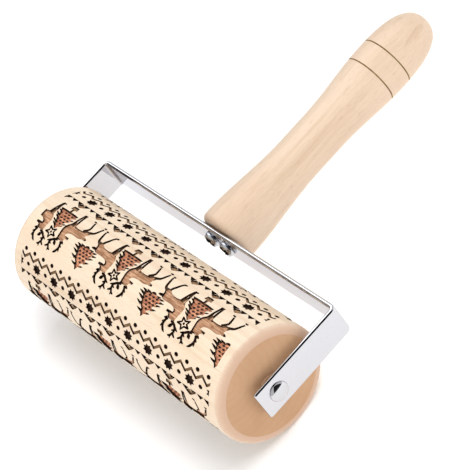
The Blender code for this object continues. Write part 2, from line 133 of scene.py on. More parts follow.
# The axle's line, the pin's tilt on the table and the roller, as the CAD has them
AXLE = Vector(frame["joints"][0]["pos_m"])
LEG_FACE = next(m for m in frame["record"]["mounts"] if m["name"] == "right_leg_face")
TILT = math.atan2(LEG_FACE["pos_m"][2] - AXLE.z, LEG_FACE["pos_m"][1] - AXLE.y)
PIN = Matrix.Translation(AXLE) @ Matrix.Rotation(TILT, 4, "X")
ROLLER_LOW, ROLLER_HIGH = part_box("roller")
ROLLER_RADIUS = (ROLLER_HIGH.z - ROLLER_LOW.z) / 2
ROLLER_LENGTH = ROLLER_HIGH.x - ROLLER_LOW.x
ROLLER_MIDDLE = (ROLLER_HIGH.x + ROLLER_LOW.x) / 2 - AXLE.x
YOKE_LOW, YOKE_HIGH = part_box("yoke")
OUTSIDE_HALF = (YOKE_HIGH.x - YOKE_LOW.x) / 2
INSIDE_HALF = OUTSIDE_HALF - STRAP_THICKNESS
CROSSBAR_INSIDE = ROLLER_RADIUS + CROSSBAR_CLEARANCE
CROSSBAR_OUTSIDE = CROSSBAR_INSIDE + STRAP_THICKNESS
HANDLE_BASE = CROSSBAR_OUTSIDE + SEAT_GAP
ALONG_X = Matrix.Rotation(math.radians(90), 4, "Y")
ALONG_MINUS_X = Matrix.Rotation(math.radians(-90), 4, "Y")
ALONG_Y = Matrix.Rotation(math.radians(-90), 4, "X")
ROLLER_PLACE = Matrix.Translation(AXLE + Vector((ROLLER_MIDDLE, 0, 0)))
HANDLE_PLACE = PIN @ Matrix.Translation((0, HANDLE_BASE, 0)) @ ALONG_Y


# Meshes
def arc(centre, radius, start, end, steps):
    """Points on an arc from one angle to the other, in degrees, both ends included."""
    angles = [math.radians(start + (end - start) * step / steps) for step in range(steps + 1)]
    return [(centre[0] + radius * math.cos(a), centre[1] + radius * math.sin(a)) for a in angles]


def quarter_turn(steps):
    """The sine and cosine at each step of a quarter turn."""
    angles = [math.radians(90) * step / steps for step in range(steps + 1)]
    return [(math.sin(a), math.cos(a)) for a in angles]


def full_turn(sides):
    """The cosine and sine of each direction round a circle."""
    angles = [math.tau * side / sides for side in range(sides)]
    return [(math.cos(a), math.sin(a)) for a in angles]


def add_band(bm, low, high, material=0):
    """Faces between two rows of vertices. A pole is a row of one vertex only, many times."""
    for corners in zip(low, low[1:], high[1:], high):
        face = bm.faces.new(list(dict.fromkeys(corners)))
        face.material_index = material


def turned(outline, sides, marked=()):
    """Spins an outline of (radius, height) points round Z. A marked point's band gets material 1."""
    bm = bmesh.new()
    directions = full_turn(sides)
    rings = []
    for radius, height in outline:
        if radius == 0:
            rings.append([bm.verts.new((0, 0, height))] * sides)
        else:
            rings.append([bm.verts.new((radius * x, radius * y, height)) for x, y in directions])
    for index, (low, high) in enumerate(zip(rings, rings[1:])):
        add_band(bm, low + low[:1], high + high[:1], int(index in marked))
    bmesh.ops.recalc_face_normals(bm, faces=bm.faces)
    return bm


def extruded(outline, depth):
    """A flat outline in the XY plane, given this depth about the plane."""
    bm = bmesh.new()
    face = bm.faces.new([bm.verts.new((x, y, -depth / 2)) for x, y in outline])
    raised = bmesh.ops.extrude_face_region(bm, geom=[face])["geom"]
    corners = [item for item in raised if isinstance(item, bmesh.types.BMVert)]
    bmesh.ops.translate(bm, verts=corners, vec=(0, 0, depth))
    bmesh.ops.recalc_face_normals(bm, faces=bm.faces)
    return bm


def make_object(name, bm, place, materials):
    """Turns a bmesh, moved to its place, into an object that is smooth but for its real edges."""
    bm.transform(place)
    mesh = bpy.data.meshes.new(name)
    bm.to_mesh(mesh)
    bm.free()
    for material in materials:
        mesh.materials.append(material)
    soften(mesh)
    return add_object(name, mesh)


def add_object(name, data):
    made = bpy.data.objects.new(name, data)
    bpy.context.scene.collection.objects.link(made)
    return made


def soften(mesh):
    mesh.shade_smooth()
    mesh.set_sharp_from_angle(angle=math.radians(SMOOTH_ANGLE))


def cut(piece, bm, place, material=None):
    """Takes a bmesh's shape out of a piece. The cut faces can have a material of their own."""
    cutter = make_object(piece.name + "_cutter", bm, place, (material,) if material else ())
    boolean = piece.modifiers.new("cut", "BOOLEAN")
    boolean.operation = "DIFFERENCE"
    boolean.solver = "EXACT"
    boolean.material_mode = "TRANSFER" if material else "INDEX"
    boolean.object = cutter
    settle(piece)
    bpy.data.objects.remove(cutter)


def settle(piece):
    """Gives the piece the mesh that its modifiers make."""
    bpy.context.view_layer.update()
    graph = bpy.context.evaluated_depsgraph_get()
    mesh = bpy.data.meshes.new_from_object(piece.evaluated_get(graph))
    piece.modifiers.clear()
    piece.data = mesh


def add_bevel(piece, name, width, steps, angle):
    """Rounds the edges that turn by more than this angle."""
    bevel = piece.modifiers.new(name, "BEVEL")
    bevel.width = width
    bevel.segments = steps
    bevel.limit_method = "ANGLE"
    bevel.angle_limit = math.radians(angle)


def rod(radius, start, end):
    return turned([(0, start), (radius, start), (radius, end), (0, end)], SMALL_SIDES)


def fit_to(piece, body, node):
    """The piece rides on this body and stands for this node."""
    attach(piece, body)
    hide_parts(node)


# Materials
class Shading:
    """A material's node tree, with short ways to add to it."""

    def __init__(self, name, roughness, metallic=0.0, specular=0.5, place=Matrix()):
        self.material = bpy.data.materials.new(name)
        self.material.use_nodes = True
        self.tree = self.material.node_tree
        self.shader = self.tree.nodes["Principled BSDF"]
        self.join(self.shader, Roughness=roughness, Metallic=metallic, Specular_IOR_Level=specular)
        source = self.add("ShaderNodeTexCoord").outputs["Object"]
        moved = self.add("ShaderNodeMapping", vector_type="TEXTURE")
        self.join(moved, Vector=source, Location=place.translation, Rotation=place.to_euler())
        self.position = moved.outputs["Vector"]

    def add(self, kind, **settings):
        node = self.tree.nodes.new(kind)
        for key, value in settings.items():
            setattr(node, key, value)
        return node

    def join(self, node, **inputs):
        """Sets or links a node's inputs by their names, or by their numbers as i0, i1 and so on."""
        for key, value in inputs.items():
            numbered = key[0] == "i" and key[1:].isdigit()
            socket = node.inputs[int(key[1:]) if numbered else key.replace("_", " ")]
            if isinstance(value, bpy.types.NodeSocket):
                self.tree.links.new(value, socket)
            else:
                socket.default_value = value
        return node

    def stretched(self, scale, place=(0, 0, 0), source=None):
        """Coordinates scaled along each axis."""
        node = self.add("ShaderNodeMapping")
        self.join(node, Scale=scale, Location=place, Vector=source or self.position)
        return node.outputs["Vector"]

    def noise(self, scale, place=(0, 0, 0), source=None, detail=2.0, roughness=0.5, distortion=0.0):
        node = self.add("ShaderNodeTexNoise")
        vector = self.stretched(scale, place, source)
        self.join(node, Vector=vector, Scale=1.0, Detail=detail, Roughness=roughness, Distortion=distortion)
        return node.outputs["Fac"]

    def ramp(self, value, low, high, start=0.0, end=1.0):
        """Maps a value from one range to another, held at the ends."""
        node = self.add("ShaderNodeMapRange")
        self.join(node, Value=value, From_Min=low, From_Max=high, To_Min=start, To_Max=end)
        return node.outputs["Result"]

    def mix(self, share, first, second):
        node = self.add("ShaderNodeMix", data_type="RGBA")
        self.join(node, i0=share, i6=first, i7=second)
        return node.outputs[2]

    def math(self, operation, first, second=0.0):
        return self.join(self.add("ShaderNodeMath", operation=operation), i0=first, i1=second).outputs[0]

    def bump(self, height, strength, distance):
        node = self.add("ShaderNodeBump")
        self.join(node, Height=height, Strength=strength, Distance=distance)
        self.join(self.shader, Normal=node.outputs["Normal"])

    def finished(self, colour):
        """The material, with this colour."""
        self.join(self.shader, Base_Color=colour)
        return self.material


def rgb(red, green, blue):
    return (red, green, blue, 1.0)


WHITE = rgb(1, 1, 1)


def grain_scale(size, along):
    """The scales of a pattern of this size across and along the grain, which runs along axis 0 or 2."""
    across, length = size
    return tuple(1 / (length if axis == along else across) for axis in range(3))


# Lengths of the finishes' patterns in metres. Those of wood and of the burner's lines are across and along.
GRAIN_CLOUDS = (0.021, 0.055)
GRAIN_BANDS = (0.0031, 0.090)
GRAIN_FIBRES = (0.00055, 0.016)
GRAIN_FLECKS = (0.00042, 0.0030)
BURNER_LINES = (0.00075, 0.0090)
BURNT_CLOUDS = (0.0010, 0.0040)
WOOD_BUMP = 0.00012
PLATE_BUMP = 0.0004
NYLON_BUMP = 0.0001

# Scales of the other patterns, in repeats to the metre
RING_SCALE = 95.0
PORE_SCALE = (900, 2100, 2100)
END_CLOUD_SCALE = (60, 60, 60)
HAZE_SCALE = (120, 120, 120)
PLATE_FINE_SCALE = (2600, 2600, 2600)
RIPPLE_SCALE = (55, 55, 55)
NYLON_SCALE = (500, 500, 500)
FLOOR_SCALE = (40, 40, 40)

FLOOR_GLOW = 0.075
WORN_SHARE = 0.96  # how bright plate is where it is dullest
RING_TONE = rgb(0.42, 0.22, 0.11)
PORE_TONE = rgb(0.36, 0.19, 0.10)


def turned_wood(name, pale, warm, dark, place, along, pith, end_tone=None):
    """Fine sanded beech. Its grain runs along one axis, 0 for X or 2 for Z, and the rings centre on the pith.
    With an end tone, the roller's rounded rim goes over into it."""
    wood = Shading(name, roughness=0.42, specular=0.4, place=place)
    cloud = wood.noise(grain_scale(GRAIN_CLOUDS, along), detail=3.0)
    bands = wood.noise(grain_scale(GRAIN_BANDS, along), pith, detail=3.0, distortion=0.35)
    fibre = wood.noise(grain_scale(GRAIN_FIBRES, along), detail=3.0, roughness=0.6)
    flecks = wood.noise(grain_scale(GRAIN_FLECKS, along), detail=1.0)
    tone = wood.mix(wood.ramp(cloud, 0.35, 0.68), pale, warm)
    layers = ((bands, 0.52, 0.74, 0.42), (fibre, 0.50, 0.80, 0.34), (flecks, 0.63, 0.72, 0.36))
    for layer, low, high, most in layers:
        tone = wood.mix(wood.ramp(layer, low, high, 0.0, most), tone, dark)
    if end_tone:
        split = wood.join(wood.add("ShaderNodeSeparateXYZ"), Vector=wood.position)
        reach = wood.math("ABSOLUTE", split.outputs["X"])
        share = wood.ramp(reach, ROLLER_LENGTH / 2 - ROLLER_RIM_RADIUS, ROLLER_LENGTH / 2)
        tone = wood.mix(share, tone, end_tone)
    wood.bump(wood.math("SUBTRACT", fibre, wood.ramp(flecks, 0.62, 0.75)), 0.22, WOOD_BUMP)
    return wood.finished(tone)


def end_grain(name, pale, dark, pith):
    """The same wood cut across, with growth rings round a pith that is off the axis."""
    wood = Shading(name, roughness=0.66, specular=0.2, place=ROLLER_PLACE)
    place = wood.stretched((1, 1, 1), pith)
    rings = wood.add("ShaderNodeTexWave", wave_type="RINGS", rings_direction="X", wave_profile="SAW")
    wood.join(rings, Vector=place, Scale=RING_SCALE, Distortion=2.2, Detail=2.0, Detail_Scale=0.8)
    pores = wood.noise(PORE_SCALE)
    cloud = wood.noise(END_CLOUD_SCALE, detail=3.0)
    tone = wood.mix(wood.ramp(cloud, 0.3, 0.7), pale, dark)
    tone = wood.mix(wood.ramp(rings.outputs["Fac"], 0.3, 1.0, 0.0, 0.20), tone, RING_TONE)
    tone = wood.mix(wood.ramp(pores, 0.55, 0.75, 0.0, 0.30), tone, PORE_TONE)
    wood.bump(pores, 0.25, WOOD_BUMP)
    return wood.finished(tone)


def engraved(name, pale, dark, roughness, line_share):
    """Burnt wood at the bottom of the engraving, with the fine lines that the burner leaves."""
    burnt = Shading(name, roughness=roughness, specular=0.15, place=ROLLER_PLACE)
    split = burnt.join(burnt.add("ShaderNodeSeparateXYZ"), Vector=burnt.position)
    angle = burnt.math("ARCTAN2", split.outputs["Z"], split.outputs["Y"])
    round_it = burnt.math("MULTIPLY", angle, ROLLER_RADIUS)
    flat = burnt.join(burnt.add("ShaderNodeCombineXYZ"), X=split.outputs["X"], Y=round_it).outputs["Vector"]
    lines = burnt.noise(grain_scale(BURNER_LINES, 0), source=flat)
    cloud = burnt.noise(grain_scale(BURNT_CLOUDS, 0), source=flat, detail=3.0, roughness=0.6)
    tone = burnt.mix(burnt.ramp(cloud, 0.36, 0.66), pale, dark)
    tone = burnt.mix(burnt.ramp(lines, 0.47, 0.58, 0.0, line_share), tone, dark)
    burnt.bump(lines, 0.5, WOOD_BUMP)
    return burnt.finished(tone)


def plated(name, tint, smooth, dull, ripple, edge_tint=WHITE):
    """Polished plate, with a faint unevenness in its gloss and its surface."""
    metal = Shading(name, roughness=smooth, metallic=1.0)
    haze = metal.noise(HAZE_SCALE, detail=4.0, roughness=0.6)
    fine = metal.noise(PLATE_FINE_SCALE, detail=1.0)
    gloss = metal.ramp(haze, 0.35, 0.75, smooth, dull)
    metal.join(metal.shader, Roughness=gloss, Specular_Tint=edge_tint)
    worn = rgb(*(WORN_SHARE * part for part in tint[:3]))
    metal.bump(metal.noise(RIPPLE_SCALE, detail=1.0), ripple, PLATE_BUMP)
    return metal.finished(metal.mix(metal.ramp(fine, 0.35, 0.65), tint, worn))


# Nylon for the bushings, coloured dark brown as painted shade, so that its rim reads as the shaded end face beside
# the leg.
def nylon_painted_shade_finish():
    plastic = Shading("brown_nylon", roughness=0.42, specular=0.4)
    cloud = plastic.noise(NYLON_SCALE)
    tone = plastic.mix(plastic.ramp(cloud, 0.35, 0.65), rgb(0.36, 0.22, 0.14), rgb(0.31, 0.18, 0.11))
    plastic.bump(cloud, 0.08, NYLON_BUMP)
    return plastic.finished(tone)


def floor_finish():
    """A pale table that is lit a little from below."""
    paper = Shading("pale_floor", roughness=0.9, specular=0.05)
    fine = paper.noise(FLOOR_SCALE)
    shade = paper.mix(fine, rgb(0.955, 0.955, 0.96), rgb(0.965, 0.965, 0.968))
    paper.join(paper.shader, Emission_Color=shade, Emission_Strength=FLOOR_GLOW)
    return paper.finished(shade)


ROLLER_PITH = (3, 1, 2)
HANDLE_PITH = (1, 4, 2)
ROLLER_WOOD = turned_wood(
    "pale_beech", rgb(0.70, 0.575, 0.44), rgb(0.685, 0.545, 0.40), rgb(0.50, 0.33, 0.20),
    ROLLER_PLACE, 0, ROLLER_PITH
)
RIM_WOOD = turned_wood(
    "rim_beech", rgb(0.66, 0.525, 0.41), rgb(0.64, 0.495, 0.37), rgb(0.47, 0.30, 0.19),
    ROLLER_PLACE, 0, ROLLER_PITH, rgb(0.50, 0.325, 0.225)
)
HANDLE_WOOD = turned_wood(
    "handle_beech", rgb(0.62, 0.48, 0.36), rgb(0.585, 0.434, 0.315), rgb(0.435, 0.285, 0.176),
    HANDLE_PLACE, 2, HANDLE_PITH
)
END_PITH = (0, 0.011, -0.017)
END_WOOD = end_grain("beech_end_grain", rgb(0.485, 0.298, 0.176), rgb(0.435, 0.258, 0.146), END_PITH)
FIGURE_WOOD = engraved("engraved_figure", rgb(0.63, 0.375, 0.235), rgb(0.29, 0.14, 0.07), 0.75, 0.85)
FIR_WOOD = engraved("engraved_fir", rgb(0.66, 0.31, 0.18), rgb(0.27, 0.095, 0.05), 0.75, 0.7)
LINE_WOOD = engraved("engraved_line", rgb(0.33, 0.20, 0.11), rgb(0.17, 0.095, 0.05), 0.75, 0.4)
LEG_WOOD = engraved("engraved_leg", rgb(0.155, 0.09, 0.048), rgb(0.052, 0.027, 0.015), 0.75, 0.5)
SCORCHED = engraved("scorched_wood", rgb(0.040, 0.019, 0.012), rgb(0.013, 0.007, 0.005), 0.7, 0.3)
GROOVE_WOOD = engraved("burnt_groove", rgb(0.38, 0.27, 0.145), rgb(0.26, 0.175, 0.085), 0.7, 0.2)
CHROME = plated("polished_chrome", rgb(0.65, 0.65, 0.675), 0.03, 0.07, 0.015, rgb(0.84, 0.84, 0.86))
STEEL = plated("polished_steel", rgb(0.62, 0.62, 0.64), 0.05, 0.12, 0.02)
SCREW_STEEL = plated("screw_steel", rgb(0.63, 0.665, 0.72), 0.17, 0.26, 0.05)
# The screws' cross recesses are painted almost black, as painted shade in the hollows.
RECESS_PAINTED_SHADE = plated("dark_recess_steel", rgb(0.030, 0.030, 0.032), 0.45, 0.6, 0.05)
# The washers' steel is painted dark grey, as painted shade in the gap between each leg and the roller's end.
WASHER_PAINTED_SHADE = plated("plain_washer_steel", rgb(0.14, 0.14, 0.145), 0.25, 0.42, 0.05)
NYLON_PAINTED_SHADE = nylon_painted_shade_finish()

# The border that is engraved on the roller, drawn flat
# Across runs along the roller towards its left end, and up runs round it, away from the handle. Drawings are
# in millimetres. Up is measured from the foot of the border. A stroke's third number is its width.
REPEATS = 4
DRAWN_HEIGHT = 40.3
SEAM = -0.56  # where one repeat's mesh ends and the next one's begins
BORDER_ENDS = (-63.5, 62.6)
STAR_PITCH = 12.9
STAR_AT = 1.35
FIGURE_PITCH = 3.5 * STAR_PITCH
PAIR_AT = 7.95
FIR_AT = -15.65
BOW = 0.0005
BOW_MIDDLE = -3.0
LEFT_DROP = -0.6  # how much lower the left reindeer stands

BODY = [
    (5, 20.1), (4.65, 17.8), (4.35, 16), (4.5, 14.2), (5.3, 12.8), (6.2, 11.9), (7, 10.2), (7.6, 9.2),
    (8.3, 10.4), (9.6, 11.75), (12.4, 12), (14.4, 11.75), (15.9, 10.9), (17, 10.5), (18.4, 10.5),
    (19.1, 11.3), (18.3, 12.4), (18, 13.5), (18.2, 14.3), (17.6, 14.95), (16.7, 15.35), (15.4, 15.6),
    (12.7, 15.5), (10.7, 15.6), (9.3, 15.95), (8.5, 16.5), (8.2, 17.2), (8.6, 17.7), (9.6, 17.9),
    (11.1, 18), (11.3, 18.35), (10.9, 18.6), (10, 18.75), (9.35, 19.2), (9.2, 19.8), (8.4, 20.3),
    (6.8, 20.45),
]
# The mouth, ear, brow and tail, and then the antlers
HEAD_LINES = [
    [(8.5, 17.75, 0.3), (9.8, 17.95, 0.45), (11.3, 18.2, 0.6)],
    [(8.8, 20.4, 0.7), (9.6, 20.7, 0.6), (10.4, 20.95, 0.2)],
    [(6, 20.3, 0.5), (5.3, 20.3, 0.5), (4.8, 20, 0.25)],
    [(17.9, 14.3, 0.7), (19, 14.35, 0.6), (20, 14.5, 0.25)],
    [(6.3, 20.5, 0.55), (5.2, 20.9, 0.6), (4, 21.25, 0.65), (2.9, 22.05, 0.6), (1.8, 22.6, 0.5),
     (0.7, 23, 0.2)],
    [(2.9, 22.05, 0.5), (2.3, 23.3, 0.6), (2.5, 24.4, 0.6), (3.2, 25.6, 0.55), (3, 26.9, 0.2)],
    [(2.45, 24.3, 0.5), (1.5, 25.2, 0.5), (0.6, 25.6, 0.25)],
    [(3.1, 25.4, 0.5), (3.9, 26, 0.5), (4.7, 26.1, 0.2)],
    [(2.3, 23.2, 0.5), (3.1, 23.4, 0.45), (3.8, 23.7, 0.2)],
    [(8.2, 20.4, 0.6), (8.9, 21.5, 0.65), (9.2, 22.8, 0.65), (8.9, 24.1, 0.65), (7.9, 25.4, 0.6),
     (6.8, 26.1, 0.2)],
    [(9.2, 23, 0.5), (9.6, 23.8, 0.5), (9.95, 24.8, 0.2)],
    [(9.1, 22, 0.5), (9.7, 22.4, 0.5), (10.35, 22.75, 0.2)],
    [(4.5, 21.5, 0.3), (5.4, 22.4, 0.9), (6.4, 23.2, 0.25)],
]
RIGHT_LEGS = [
    [(6.8, 12.3, 0.8), (6.95, 9, 0.85), (7.15, 6.3, 0.75), (7, 5.3, 0.8)],
    [(8.9, 12, 0.8), (8.35, 9.4, 0.8), (7.8, 6.5, 0.7), (7.5, 5.3, 0.7)],
    [(5.7, 5.12, 0.3), (6.6, 5.22, 0.6), (7.8, 5.2, 0.6)],
    [(16.6, 10.7, 0.9), (16.3, 9.7, 0.9), (15.5, 8.2, 0.85), (14.8, 6.6, 0.75), (14, 5.5, 0.7),
     (12.6, 5.15, 0.4)],
    [(18.5, 11.4, 0.9), (19.7, 10.4, 0.9), (20.15, 9, 0.85), (20.7, 6.9, 0.7), (20.95, 5.7, 0.65)],
    [(20, 5.15, 0.4), (20.8, 5.2, 0.6), (21.4, 5.05, 0.4)],
]
LEFT_LEGS = [
    [(6.9, 12.4, 0.8), (7.3, 9.6, 0.8), (7.75, 6.5, 0.75), (7.8, 5.3, 0.7)],
    [(9, 12.4, 0.8), (8.9, 9.6, 0.8), (8.8, 6.8, 0.7), (8.8, 5.4, 0.7)],
    [(7.3, 5.2, 0.5), (8.4, 5.2, 0.6), (9.3, 5, 0.35)],
    [(17.2, 11.2, 0.9), (18.2, 10.8, 0.9), (19.6, 10.3, 0.9), (20.6, 9.4, 0.85), (21.4, 7.4, 0.75),
     (22, 5.9, 0.65)],
    [(22.8, 4.95, 0.4), (22.1, 5.15, 0.6), (21.2, 4.95, 0.35)],
    [(14.4, 11.6, 0.7), (15.2, 11, 0.8), (16.2, 10, 0.9), (16.5, 9, 0.8), (15.9, 6.9, 0.7),
     (15.5, 5.7, 0.65)],
    [(15.7, 5.2, 0.45), (14.9, 5.1, 0.6), (14, 4.95, 0.35)],
]
STAND_FIR = [
    (0, 17.1), (1.3, 15.9), (2.5, 14.9), (1.9, 14.75), (3.6, 13.7), (2.5, 13.45), (4, 11.6), (5.3, 10.5),
    (3.9, 10.3), (5, 8.7), (6.1, 7.35), (0, 7.2),
]
STAND_FIR_SPIKES = [
    [(1.5, 15.4, 0.4), (2.7, 14.8, 0.45), (3.3, 14.5, 0.15)],
    [(2.3, 14, 0.5), (3.7, 13.5, 0.5), (4.5, 13.2, 0.15)],
    [(2.6, 12.3, 0.5), (4.1, 11.7, 0.5), (4.9, 11.4, 0.15)],
    [(3.8, 10.9, 0.5), (5.3, 10.3, 0.5), (6, 10, 0.15)],
    [(4, 9.2, 0.5), (5.3, 8.7, 0.5), (6.1, 8.5, 0.15)],
]
STAND_FIR_FOOT = [(-6.1, 7.4, 0.25), (-3, 7.3, 0.45), (3, 7.3, 0.45), (6.1, 7.4, 0.25)]
TRUNK = [(0, 7.6, 1.3), (0, 6.4, 1.3), (0, 5.2, 1.3)]
POT = [(-2.1, 5.5), (2.1, 5.5), (1.7, 3.8), (-1.7, 3.8)]
POT_RIM = [(-1.8, 3.8, 0.3), (0, 3.75, 0.5), (1.8, 3.8, 0.3)]
STAND_FIR_ROWS = (8.3, 16)  # height of the lowest row of dashes, and the limit above
FIGURE_STAR_SIZE = (3.3, 2.5, 0.45)  # reach across and up, and the notches' share of it
FIGURE_STAR_ROW = 18.85
FIGURE_STAR_LINE = 0.8
FIGURE_STAR_HEART = 0.6
UPPER_FIR = [
    (0, 26.4), (0.9, 25), (1.9, 24), (1.4, 23.3), (2.9, 22.2), (3.8, 21.4), (3.2, 20.7), (4.5, 19.5),
    (4.2, 18.8), (5.2, 18), (4.8, 17.3), (5, 16.8), (4.4, 16.3), (2.5, 15.95), (0, 15.6),
]
UPPER_FIR_SPIKES = [
    [(1.3, 24.15, 0.7), (2.7, 23.9, 0.55), (3.9, 23.6, 0.15)],
    [(3, 21.95, 0.8), (4.6, 21.45, 0.6), (6, 21.05, 0.15)],
    [(3.8, 19.7, 0.8), (5.4, 19.15, 0.6), (6.9, 18.75, 0.15)],
    [(4.4, 17.9, 0.8), (6.1, 17.5, 0.6), (7.6, 17.25, 0.15)],
    [(4, 16.65, 0.8), (5.4, 16.3, 0.6), (6.7, 16.05, 0.15)],
    [(1.9, 16.1, 0.6), (3.3, 15.9, 0.5), (4.4, 15.6, 0.15)],
    [(-1.3, 15.65, 0.3), (0, 15.4, 0.6), (1.3, 15.65, 0.3)],
]
UPPER_FIR_ROWS = (17, 25.4)
DASH = (1.025, 0.55)  # reach across and up
DASH_PITCH = (2.25, 1.4)  # across and up
DASH_MARGIN = 0.95
ROW_DOTS = (30.6, 1.12, 0.9)  # height, and reach across and up
ZIGZAG = (33, 1.15, 1.40)  # height, swing and thickness
STAR_ROW = 36.6
STAR_SIZE = (3.05, 2.45, 0.68)  # as the figures' star
STAR_DOTS = (36.4, 1.15, 0.9)  # as the row of dots
TRIANGLE = (2, 1.85)  # half its width, and its height
TRIANGLE_OFFSETS = (-2.37, 2.37, 6.45)
DIAMOND = (1.75, 2, 1.2)  # as the row of dots
DIAMOND_LINE = 0.55
OVAL_SIDES = 12
DOT_SIDES = 8
HEAD_WEIGHT = 1.9
LEG_WEIGHT = 1.4
SPIKE_WEIGHT = 1.4

# How deep each kind of engraving is, and what its bottom is made of. The deepest wins where two meet.
SURFACE, POT_LEVEL, LINE_LEVEL, FIGURE_LEVEL, FIR_LEVEL, LEG_LEVEL, CUT_LEVEL = range(7)
DEPTHS = (0.0, 0.00045, 0.00070, 0.00088, 0.00090, 0.00098, 0.00110)
ROLLER_MATERIALS = (
    ROLLER_WOOD, LINE_WOOD, LINE_WOOD, FIGURE_WOOD, FIR_WOOD, LEG_WOOD, SCORCHED, END_WOOD, RIM_WOOD
)
WALL_MATERIAL = 6
END_MATERIAL = 7
RIM_MATERIAL = 8
STRIPS = 32  # flat strips round one repeat
COLUMNS = 34
CURVE_STEPS = 3
BODY_CURVE_STEPS = 2


def between(a, b, c, d, t):
    """A value this share of the way from b to c, on a smooth curve that passes a and d too."""
    return (2 * b + (c - a) * t + (2 * a - 5 * b + 4 * c - d) * t**2 + (3 * b - a - 3 * c + d) * t**3) / 2


def smooth(points, closed=False, steps=CURVE_STEPS):
    """A curve through the given points."""
    if closed:
        ends = [points[-1], *points, points[0], points[1]]
    else:
        first = tuple(2 * a - b for a, b in zip(points[0], points[1]))
        last = tuple(2 * a - b for a, b in zip(points[-1], points[-2]))
        ends = [first, *points, last]
    line = []
    for p0, p1, p2, p3 in zip(ends, ends[1:], ends[2:], ends[3:]):
        for step in range(steps):
            line.append(tuple(between(*values, step / steps) for values in zip(p0, p1, p2, p3)))
    return line if closed else line + [points[-1]]


def stroke(points, weight=1.0, steps=CURVE_STEPS):
    """The outline of a brush stroke through (across, up, width) points."""
    line = smooth(points, steps=steps)
    left, right = [], []
    for index, (x, y, width) in enumerate(line):
        x0, y0, _ = line[max(index - 1, 0)]
        x1, y1, _ = line[min(index + 1, len(line) - 1)]
        length = math.hypot(x1 - x0, y1 - y0)
        across, up = (y0 - y1) / length * width * weight / 2, (x1 - x0) / length * width * weight / 2
        left.append((x + across, y + up))
        right.append((x - across, y - up))
    return left + right[::-1]


def straight(start, end, width):
    return stroke([(*start, width), (*end, width)], steps=1)


def oval(x, y, across, up, sides=OVAL_SIDES):
    return [(x + across * cosine, y + up * sine) for cosine, sine in full_turn(sides)]


def diamond(x, y, across, up):
    return [(x - across, y), (x, y - up), (x + across, y), (x, y + up)]


def dot(x, y, radius):
    return oval(x, y, radius, radius, DOT_SIDES)


def pointed_star(x, y, across, up, inner, points, start):
    """A star outline. Inner is the notches' share of the points' reach, and start turns it, in degrees."""
    line = []
    for index in range(2 * points):
        reach = inner if index % 2 else 1
        angle = math.radians(start) + math.pi * index / points
        line.append((x + across * reach * math.cos(angle), y + up * reach * math.sin(angle)))
    return line


def sides_of(line):
    """The start and end of each side of a closed line."""
    return zip(line, line[1:] + line[:1])


def mirrored(half):
    """A whole outline from its right half, which runs from the top of the axis to the foot."""
    left = [(-x, y) for x, y in reversed(half) if x != 0]
    return half + left


def half_width(half, y):
    """How far a half outline reaches at this height."""
    reach = 0
    for (x0, y0), (x1, y1) in zip(half, half[1:]):
        if min(y0, y1) <= y <= max(y0, y1) and y0 != y1:
            reach = max(reach, x0 + (x1 - x0) * (y - y0) / (y1 - y0))
    return reach


def dashes(half, low, high):
    """Rows of small diamonds inside a fir."""
    shapes = []
    row, y = 0, low
    while y < high:
        reach = half_width(half, y) - DASH_MARGIN
        count = int(reach / DASH_PITCH[0]) + 1 if reach > 0 else 0
        for index in range(-count, count + 1):
            x = (index + (row % 2) / 2) * DASH_PITCH[0]
            if abs(x) <= reach:
                shapes.append(diamond(x, y, *DASH))
        row, y = row + 1, y + DASH_PITCH[1]
    return shapes


def spikes(right_side):
    """Needles on a fir's right side and their mirror images on its left."""
    right = [stroke(line, SPIKE_WEIGHT) for line in right_side]
    return right + [[(-x, y) for x, y in line] for line in right]


def at_level(level, lines):
    return [(level, line) for line in lines]


def deer(legs, flip, drop):
    """One reindeer's shapes, drawn on the right of the stand fir, or flipped to its left."""
    shapes = [(FIGURE_LEVEL, smooth(BODY, closed=True, steps=BODY_CURVE_STEPS))]
    shapes += at_level(CUT_LEVEL, [stroke(line, HEAD_WEIGHT) for line in HEAD_LINES])
    shapes += at_level(LEG_LEVEL, [stroke(line, LEG_WEIGHT) for line in legs])
    return [(level, [(flip * x, y + drop) for x, y in line]) for level, line in shapes]


def pair_shapes():
    """The stand fir with its star, between two reindeer."""
    shapes = [(FIR_LEVEL, mirrored(STAND_FIR)), (POT_LEVEL, POT)]
    shapes += at_level(CUT_LEVEL, [stroke(STAND_FIR_FOOT), stroke(POT_RIM)])
    shapes.append((LINE_LEVEL, stroke(TRUNK)))
    dark = dashes(STAND_FIR, *STAND_FIR_ROWS) + spikes(STAND_FIR_SPIKES)
    points = pointed_star(0, FIGURE_STAR_ROW, *FIGURE_STAR_SIZE, 5, 90)
    for start, end in sides_of(points):
        dark.append(straight(start, end, FIGURE_STAR_LINE))
        dark.append(dot(*start, FIGURE_STAR_LINE / 2))
    dark.append(dot(0, FIGURE_STAR_ROW, FIGURE_STAR_HEART))
    shapes += at_level(CUT_LEVEL, dark)
    return shapes + deer(RIGHT_LEGS, 1, 0) + deer(LEFT_LEGS, -1, LEFT_DROP)


def fir_shapes():
    """The spiky fir that stands between two pairs."""
    dark = spikes(UPPER_FIR_SPIKES) + dashes(UPPER_FIR, *UPPER_FIR_ROWS)
    return [(FIR_LEVEL, mirrored(UPPER_FIR))] + at_level(CUT_LEVEL, dark)


